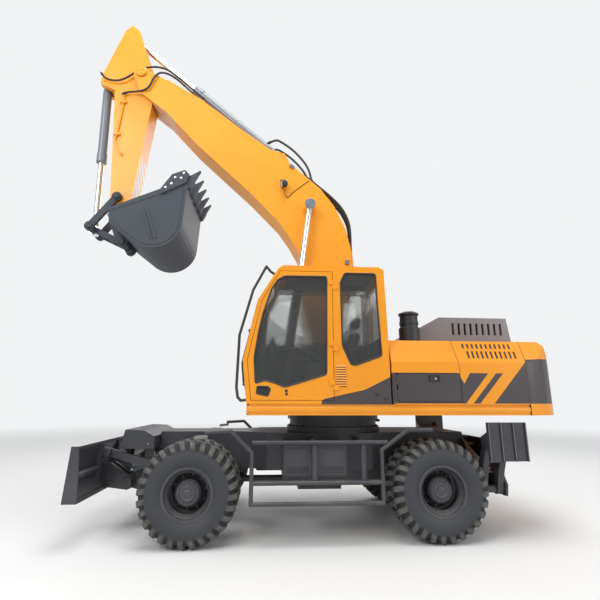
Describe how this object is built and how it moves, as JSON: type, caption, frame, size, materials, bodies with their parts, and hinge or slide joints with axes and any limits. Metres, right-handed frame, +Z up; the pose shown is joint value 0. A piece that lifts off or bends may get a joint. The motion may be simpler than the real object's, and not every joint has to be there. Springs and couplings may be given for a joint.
{
  "type": "wheeled excavator",
  "caption": "Wheeled excavator with a turning cab and deck, a folded boom, stick and bucket, a front dozer blade, rear outriggers and twin tyres.",
  "frame": {"origin": "middle of the whole machine's box in plan, on the ground that the tyres stand on", "axes": "+Z up, the dozer blade and the arm face -X, the counterweight is towards +X, the cab side is -Y"},
  "size_m": [6.4086, 2.5, 7.6921],
  "materials": {
    "body_yellow": "gloss orange-yellow machine enamel",
    "boom_yellow": "gloss orange-yellow machine enamel on welded plate",
    "chassis_grey": "satin dark blue-grey enamel with road dust",
    "tool_grey": "satin steel-grey enamel",
    "hood_silver": "semi-gloss warm silver-grey enamel",
    "door_grey": "gloss dark grey band",
    "cylinder_grey": "semi-gloss blue-grey enamel",
    "rod_chrome": "hard-chromed piston rod",
    "tyre_rubber": "black tyre rubber with pale dust on the lugs",
    "black_trim": "black moulded trim and tubes",
    "cab_inside": "dark grey moulded consoles and mat",
    "window_glass": "lightly tinted safety glass",
    "seat_fabric": "woven grey seat cloth",
    "engine_block": "dull cast iron"
  },
  "bodies": {
    "chassis": {"chassis_frame": "chassis_grey", "front_cover": "chassis_grey", "front_axle": "chassis_grey", "rear_axle": "chassis_grey", "driveline": "chassis_grey", "slew_ring": "chassis_grey", "side_boxes": "chassis_grey", "side_steps": "chassis_grey"},
    "knuckle_left": {"knuckle_left": "chassis_grey"},
    "knuckle_right": {"knuckle_right": "chassis_grey"},
    "wheel_front_left": {"rims_front_left": "chassis_grey", "tyres_front_left": "tyre_rubber"},
    "wheel_front_right": {"rims_front_right": "chassis_grey", "tyres_front_right": "tyre_rubber"},
    "wheel_rear_left": {"rims_rear_left": "chassis_grey", "tyres_rear_left": "tyre_rubber"},
    "wheel_rear_right": {"rims_rear_right": "chassis_grey", "tyres_rear_right": "tyre_rubber"},
    "blade": {"blade": "chassis_grey"},
    "blade_arms": {"blade_arms": "chassis_grey"},
    "blade_links": {"blade_links": "chassis_grey"},
    "blade_barrel": {"blade_barrel": "cylinder_grey"},
    "blade_rod": {"blade_rod": "rod_chrome"},
    "leg_left": {"leg_left": "chassis_grey"},
    "leg_right": {"leg_right": "chassis_grey"},
    "pad_left": {"pad_left": "chassis_grey"},
    "pad_right": {"pad_right": "chassis_grey"},
    "leg_barrel_left": {"leg_barrel_left": "cylinder_grey"},
    "leg_barrel_right": {"leg_barrel_right": "cylinder_grey"},
    "leg_rod_left": {"leg_rod_left": "rod_chrome"},
    "leg_rod_right": {"leg_rod_right": "rod_chrome"},
    "upper": {"deck": "body_yellow", "counterweight": "body_yellow", "engine": "engine_block", "hood": "body_yellow", "right_tanks": "body_yellow", "pre_cleaner": "black_trim", "cab_rails": "black_trim", "cab_shell": "body_yellow", "cab_glass": "window_glass", "cab_fittings": "cab_inside", "seat_cushions": "seat_fabric"},
    "cab_door": {"cab_door": "body_yellow", "door_glass": "window_glass"},
    "engine_cover": {"engine_cover": "hood_silver"},
    "service_door_left": {"service_door_left": "door_grey"},
    "service_door_right": {"service_door_right": "door_grey"},
    "boom": {"boom": "boom_yellow", "boom_pipes": "boom_yellow"},
    "boom_barrels": {"boom_barrels": "cylinder_grey"},
    "boom_rods": {"boom_rods": "rod_chrome"},
    "arm_barrel": {"arm_barrel": "cylinder_grey"},
    "arm_rod": {"arm_rod": "rod_chrome"},
    "stick": {"stick": "boom_yellow"},
    "bucket_barrel": {"bucket_barrel": "cylinder_grey"},
    "bucket_rod": {"bucket_rod": "rod_chrome"},
    "guide_links": {"guide_links": "tool_grey"},
    "bucket_link": {"bucket_link": "tool_grey"},
    "bucket": {"bucket": "tool_grey"}
  },
  "joints": [
    {"name": "steer_left", "type": "hinge", "parent": "chassis", "child": "knuckle_left", "pos_m": [-1.21012, -0.6, 0.545], "axis": [0, 0, 1], "range_deg": [-22, 22]},
    {"name": "steer_right", "type": "hinge", "parent": "chassis", "child": "knuckle_right", "pos_m": [-1.21012, 0.6, 0.545], "axis": [0, 0, 1], "range_deg": [-22, 22]},
    {"name": "spin_front_left", "type": "hinge", "parent": "knuckle_left", "child": "wheel_front_left", "pos_m": [-1.21012, -0.9, 0.545], "axis": [0, 1, 0], "continuous": true},
    {"name": "spin_rear_left", "type": "hinge", "parent": "chassis", "child": "wheel_rear_left", "pos_m": [1.58988, -0.9, 0.545], "axis": [0, 1, 0], "continuous": true},
    {"name": "spin_front_right", "type": "hinge", "parent": "knuckle_right", "child": "wheel_front_right", "pos_m": [-1.21012, 0.9, 0.545], "axis": [0, 1, 0], "continuous": true},
    {"name": "spin_rear_right", "type": "hinge", "parent": "chassis", "child": "wheel_rear_right", "pos_m": [1.58988, 0.9, 0.545], "axis": [0, 1, 0], "continuous": true},
    {"name": "slew", "type": "hinge", "parent": "chassis", "child": "upper", "pos_m": [0.53988, 0, 1.25], "axis": [0, 0, 1], "continuous": true},
    {"name": "blade_lift", "type": "hinge", "parent": "chassis", "child": "blade_arms", "pos_m": [-1.59012, 0, 0.39], "axis": [0, 1, 0], "range_deg": [-56, 0]},
    {"name": "blade_link_turn", "type": "hinge", "parent": "chassis", "child": "blade_links", "pos_m": [-1.81012, 0, 0.775], "axis": [0, 1, 0], "range_deg": [-56.05, 0.05]},
    {"name": "blade_turn", "type": "hinge", "parent": "blade_arms", "child": "blade", "pos_m": [-2.09, 0, 0.52957], "axis": [0, 1, 0], "range_deg": [-0.05, 56.05]},
    {"name": "blade_barrel_turn", "type": "hinge", "parent": "chassis", "child": "blade_barrel", "pos_m": [-1.70012, 0, 0.8], "axis": [0, 1, 0], "range_deg": [-40.12, 0.05]},
    {"name": "blade_rod_slide", "type": "slide", "parent": "blade_barrel", "child": "blade_rod", "axis": [-0.9541, 0, -0.2993], "range_m": [-0.001, 0.22064]},
    {"name": "leg_swing_left", "type": "hinge", "parent": "chassis", "child": "leg_left", "pos_m": [2.32238, -0.84, 0.5], "axis": [1, 0, 0], "range_deg": [0, 105]},
    {"name": "pad_turn_left", "type": "hinge", "parent": "leg_left", "child": "pad_left", "pos_m": [2.32238, -1.0996, 1.06964], "axis": [1, 0, 0], "range_deg": [-15.05, 0.05]},
    {"name": "leg_barrel_turn_left", "type": "hinge", "parent": "chassis", "child": "leg_barrel_left", "pos_m": [2.32238, -0.2, 0.95], "axis": [1, 0, 0], "range_deg": [-0.05, 4.61]},
    {"name": "leg_rod_slide_left", "type": "slide", "parent": "leg_barrel_left", "child": "leg_rod_left", "axis": [0, -0.9163, -0.4005], "range_m": [-0.001, 0.312]},
    {"name": "leg_swing_right", "type": "hinge", "parent": "chassis", "child": "leg_right", "pos_m": [2.32238, 0.84, 0.5], "axis": [-1, 0, 0], "range_deg": [0, 105]},
    {"name": "pad_turn_right", "type": "hinge", "parent": "leg_right", "child": "pad_right", "pos_m": [2.32238, 1.0996, 1.06964], "axis": [-1, 0, 0], "range_deg": [-15.05, 0.05]},
    {"name": "leg_barrel_turn_right", "type": "hinge", "parent": "chassis", "child": "leg_barrel_right", "pos_m": [2.32238, 0.2, 0.95], "axis": [-1, 0, 0], "range_deg": [-0.05, 4.61]},
    {"name": "leg_rod_slide_right", "type": "slide", "parent": "leg_barrel_right", "child": "leg_rod_right", "axis": [0, 0.9163, -0.4005], "range_m": [-0.001, 0.312]},
    {"name": "cab_door_swing", "type": "hinge", "parent": "upper", "child": "cab_door", "pos_m": [0.38988, -1.2425, 2.2], "axis": [0, 0, 1], "range_deg": [0, 120]},
    {"name": "service_door_left_swing", "type": "hinge", "parent": "upper", "child": "service_door_left", "pos_m": [1.12788, -1.243, 1.74], "axis": [0, 0, -1], "range_deg": [0, 85]},
    {"name": "service_door_right_swing", "type": "hinge", "parent": "upper", "child": "service_door_right", "pos_m": [1.12788, 1.243, 1.74], "axis": [0, 0, 1], "range_deg": [0, 85]},
    {"name": "engine_cover_lift", "type": "hinge", "parent": "upper", "child": "engine_cover", "pos_m": [2.94488, 0, 2.249], "axis": [0, 1, 0], "range_deg": [0, 60]},
    {"name": "boom_lift", "type": "hinge", "parent": "upper", "child": "boom", "pos_m": [0.48988, 0.08, 2.05], "axis": [0, 1, 0], "range_deg": [-46, 0]},
    {"name": "boom_barrel_turn", "type": "hinge", "parent": "upper", "child": "boom_barrels", "pos_m": [-0.16012, 0.08, 1.65], "axis": [0, 1, 0], "range_deg": [-41.75, 0.05]},
    {"name": "boom_rod_slide", "type": "slide", "parent": "boom_barrels", "child": "boom_rods", "axis": [0.1314, 0, 0.9913], "range_m": [-0.56763, 0.001]},
    {"name": "stick_curl", "type": "hinge", "parent": "boom", "child": "stick", "pos_m": [-2.53071, 0.08, 6.71913], "axis": [0, -1, 0], "range_deg": [-98, 0]},
    {"name": "arm_barrel_turn", "type": "hinge", "parent": "boom", "child": "arm_barrel", "pos_m": [-0.23101, 0.08, 5.34963], "axis": [0, -1, 0], "range_deg": [-4.77, 0.05]},
    {"name": "arm_rod_slide", "type": "slide", "parent": "arm_barrel", "child": "arm_rod", "axis": [-0.7547, 0, 0.6561], "range_m": [-1.28345, 0.001]},
    {"name": "bucket_curl", "type": "hinge", "parent": "stick", "child": "bucket", "pos_m": [-2.65933, 0.08, 4.08927], "axis": [0, -1, 0], "range_deg": [-140, 0]},
    {"name": "guide_turn", "type": "hinge", "parent": "stick", "child": "guide_links", "pos_m": [-2.71044, 0.08, 4.51828], "axis": [0, -1, 0], "range_deg": [-65.87, 0.05]},
    {"name": "bucket_link_turn", "type": "hinge", "parent": "bucket", "child": "bucket_link", "pos_m": [-2.569, 0.08, 3.79935], "axis": [0, -1, 0], "range_deg": [-0.05, 120.34]},
    {"name": "bucket_barrel_turn", "type": "hinge", "parent": "stick", "child": "bucket_barrel", "pos_m": [-3.13028, 0.08, 6.59927], "axis": [0, -1, 0], "range_deg": [-6.53, 0.05]},
    {"name": "bucket_rod_slide", "type": "slide", "parent": "bucket_barrel", "child": "bucket_rod", "axis": [0.0279, 0, -0.9996], "range_m": [-0.60036, 0.001]}
  ],
  "couplings": [
    {"joint": "steer_right", "follows": "steer_left", "ratio": 1},
    {"joint": "blade_link_turn", "follows": "blade_lift", "ratio": 1},
    {"joint": "blade_turn", "follows": "blade_lift", "ratio": -1},
    {"joint": "blade_barrel_turn", "follows": "blade_lift", "ratio": 0.7155},
    {"joint": "blade_rod_slide", "follows": "blade_lift", "m_per_rad": -0.22472},
    {"joint": "pad_turn_left", "follows": "leg_swing_left", "ratio": -0.14286},
    {"joint": "leg_barrel_turn_left", "follows": "leg_swing_left", "ratio": 0.043413},
    {"joint": "leg_rod_slide_left", "follows": "leg_swing_left", "m_per_rad": 0.1697},
    {"joint": "pad_turn_right", "follows": "leg_swing_right", "ratio": -0.14286},
    {"joint": "leg_barrel_turn_right", "follows": "leg_swing_right", "ratio": 0.043413},
    {"joint": "leg_rod_slide_right", "follows": "leg_swing_right", "m_per_rad": 0.1697},
    {"joint": "boom_barrel_turn", "follows": "boom_lift", "ratio": 0.90652},
    {"joint": "boom_rod_slide", "follows": "boom_lift", "m_per_rad": 0.70577},
    {"joint": "arm_barrel_turn", "follows": "stick_curl", "ratio": 0.048193},
    {"joint": "arm_rod_slide", "follows": "stick_curl", "m_per_rad": 0.74979},
    {"joint": "guide_turn", "follows": "bucket_curl", "ratio": 0.47011},
    {"joint": "bucket_link_turn", "follows": "bucket_curl", "ratio": -0.85925},
    {"joint": "bucket_barrel_turn", "follows": "bucket_curl", "ratio": 0.046262},
    {"joint": "bucket_rod_slide", "follows": "bucket_curl", "m_per_rad": 0.24529}
  ]
}
